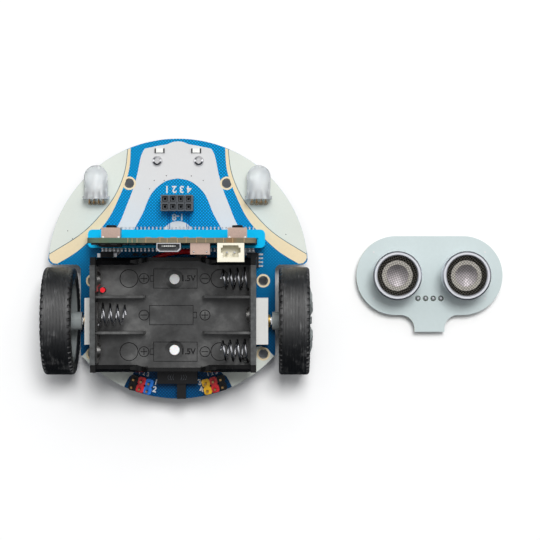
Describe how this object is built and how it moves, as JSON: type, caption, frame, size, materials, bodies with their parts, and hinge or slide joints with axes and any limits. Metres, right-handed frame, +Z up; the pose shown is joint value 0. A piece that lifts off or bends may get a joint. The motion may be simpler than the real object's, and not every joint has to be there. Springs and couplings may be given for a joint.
{
  "type": "two wheel robot car",
  "caption": "Round robot board on two geared motor wheels and a ball caster, with an upright controller card, a three-cell battery tray, headlamps and a loose sonar module.",
  "frame": {"origin": "on the floor under the centre of the round base board", "axes": "+X to the car's right, +Y to its front, +Z up"},
  "size_m": [0.1515, 0.0852, 0.0574],
  "materials": {
    "board": "satin",
    "steel": "satin",
    "brass": "satin",
    "gold": "polished",
    "cyan_plastic": "satin",
    "card_board": "satin",
    "black_plastic": "satin",
    "dark_plastic": "satin",
    "red_plastic": "satin",
    "blue_plastic": "satin",
    "yellow_plastic": "satin",
    "white_plastic": "satin",
    "ivory_plastic": "satin",
    "frosted_lens": "frosted",
    "button_steel": "satin",
    "black_sheath": "satin",
    "red_sheath": "satin",
    "tyre_rubber": "matte",
    "hub_plastic": "satin",
    "sonar_board": "satin",
    "eye_aluminium": "satin",
    "mesh_grey": "matte"
  },
  "bodies": {
    "chassis": {"base_board": "board", "edge_connector_housing": "cyan_plastic", "edge_connector_contacts": "gold", "sensor_socket": "dark_plastic", "header_pins": "gold", "headlight_lenses": "frosted_lens", "headlight_leads": "gold", "port_strips_black": "black_plastic", "port_strips_red": "red_plastic", "port_strip_blue": "blue_plastic", "port_strip_yellow": "yellow_plastic", "battery_holder": "dark_plastic", "battery_springs": "steel", "battery_contacts": "steel", "red_leads": "red_sheath", "black_leads": "black_sheath", "holder_screws": "white_plastic", "holder_standoffs": "white_plastic", "motor_brackets": "white_plastic", "machine_screws": "steel", "motor_cans": "steel", "motor_end_caps": "dark_plastic", "gearbox_plates": "brass", "gearbox_pins": "steel", "caster_housing": "dark_plastic", "line_sensors": "black_plastic", "underglow_lamps": "white_plastic", "power_switch_case": "black_plastic", "board_chips": "black_plastic"},
    "card": {"controller_board": "card_board", "controller_chips": "black_plastic", "button_cases": "button_steel", "usb_socket": "steel", "battery_socket": "ivory_plastic"},
    "sonar_module": {"sonar_board": "sonar_board", "sonar_eye_cans": "eye_aluminium", "sonar_eye_cones": "eye_aluminium", "sonar_eye_screens": "mesh_grey", "sonar_header": "black_plastic", "sonar_header_pins": "gold", "sonar_chips": "steel"},
    "caster_ball": {"caster_ball": "steel"},
    "switch_slider": {"power_switch_slider": "black_plastic"},
    "button_a": {"button_a_plunger": "black_plastic"},
    "button_b": {"button_b_plunger": "black_plastic"},
    "reset_button": {"reset_plunger": "black_plastic"},
    "left_wheel": {"left_wheel_hub": "hub_plastic", "left_tyre": "tyre_rubber", "left_output_shaft": "steel"},
    "left_gear_1": {"left_gear_1": "brass"},
    "left_gear_2": {"left_gear_2": "brass"},
    "left_gear_3": {"left_gear_3": "brass"},
    "left_rotor": {"left_motor_rotor": "steel"},
    "right_wheel": {"right_wheel_hub": "hub_plastic", "right_tyre": "tyre_rubber", "right_output_shaft": "steel"},
    "right_gear_1": {"right_gear_1": "brass"},
    "right_gear_2": {"right_gear_2": "brass"},
    "right_gear_3": {"right_gear_3": "brass"},
    "right_rotor": {"right_motor_rotor": "steel"}
  },
  "joints": [
    {"name": "left_wheel_spin", "type": "hinge", "parent": "chassis", "child": "left_wheel", "pos_m": [0, -0.017, 0.0175], "axis": [1, 0, 0], "continuous": true},
    {"name": "left_gear_3_spin", "type": "hinge", "parent": "chassis", "child": "left_gear_3", "pos_m": [0, -0.0137, 0.0175], "axis": [1, 0, 0], "continuous": true},
    {"name": "left_gear_2_spin", "type": "hinge", "parent": "chassis", "child": "left_gear_2", "pos_m": [0, -0.017, 0.0175], "axis": [1, 0, 0], "continuous": true},
    {"name": "left_gear_1_spin", "type": "hinge", "parent": "chassis", "child": "left_gear_1", "pos_m": [0, -0.0137, 0.0175], "axis": [1, 0, 0], "continuous": true},
    {"name": "left_rotor_spin", "type": "hinge", "parent": "chassis", "child": "left_rotor", "pos_m": [0, -0.017, 0.0175], "axis": [1, 0, 0], "continuous": true},
    {"name": "right_wheel_spin", "type": "hinge", "parent": "chassis", "child": "right_wheel", "pos_m": [0, -0.017, 0.0175], "axis": [1, 0, 0], "continuous": true},
    {"name": "right_gear_3_spin", "type": "hinge", "parent": "chassis", "child": "right_gear_3", "pos_m": [0, -0.0137, 0.0175], "axis": [1, 0, 0], "continuous": true},
    {"name": "right_gear_2_spin", "type": "hinge", "parent": "chassis", "child": "right_gear_2", "pos_m": [0, -0.017, 0.0175], "axis": [1, 0, 0], "continuous": true},
    {"name": "right_gear_1_spin", "type": "hinge", "parent": "chassis", "child": "right_gear_1", "pos_m": [0, -0.0137, 0.0175], "axis": [1, 0, 0], "continuous": true},
    {"name": "right_rotor_spin", "type": "hinge", "parent": "chassis", "child": "right_rotor", "pos_m": [0, -0.017, 0.0175], "axis": [1, 0, 0], "continuous": true},
    {"name": "caster_ball_roll", "type": "hinge", "parent": "chassis", "child": "caster_ball", "pos_m": [0, 0.0353, 0.00475], "axis": [1, 0, 0], "continuous": true},
    {"name": "power_switch_slide", "type": "slide", "parent": "chassis", "child": "switch_slider", "axis": [-1, 0, 0], "range_m": [0, 0.0026]},
    {"name": "card_unplug", "type": "slide", "parent": "chassis", "child": "card", "axis": [0, 0, 1], "range_m": [0, 0.014]},
    {"name": "sonar_lift", "type": "slide", "parent": "chassis", "child": "sonar_module", "axis": [0, 0, 1], "range_m": [0, 0.03]},
    {"name": "button_a_press", "type": "slide", "parent": "card", "child": "button_a", "axis": [0, -1, 0], "range_m": [0, 0.00025], "stiffness_N_per_m": 300, "springref_m": -0.0005},
    {"name": "button_b_press", "type": "slide", "parent": "card", "child": "button_b", "axis": [0, -1, 0], "range_m": [0, 0.00025], "stiffness_N_per_m": 300, "springref_m": -0.0005},
    {"name": "reset_press", "type": "slide", "parent": "card", "child": "reset_button", "axis": [0, 1, 0], "range_m": [0, 0.00025], "stiffness_N_per_m": 300, "springref_m": -0.0005}
  ],
  "couplings": [
    {"joint": "left_gear_3_spin", "follows": "left_wheel_spin", "ratio": -2.6667},
    {"joint": "left_gear_2_spin", "follows": "left_wheel_spin", "ratio": 7.1111},
    {"joint": "left_gear_1_spin", "follows": "left_wheel_spin", "ratio": -18.963},
    {"joint": "left_rotor_spin", "follows": "left_wheel_spin", "ratio": 50.568},
    {"joint": "right_gear_3_spin", "follows": "right_wheel_spin", "ratio": -2.6667},
    {"joint": "right_gear_2_spin", "follows": "right_wheel_spin", "ratio": 7.1111},
    {"joint": "right_gear_1_spin", "follows": "right_wheel_spin", "ratio": -18.963},
    {"joint": "right_rotor_spin", "follows": "right_wheel_spin", "ratio": 50.568}
  ]
}
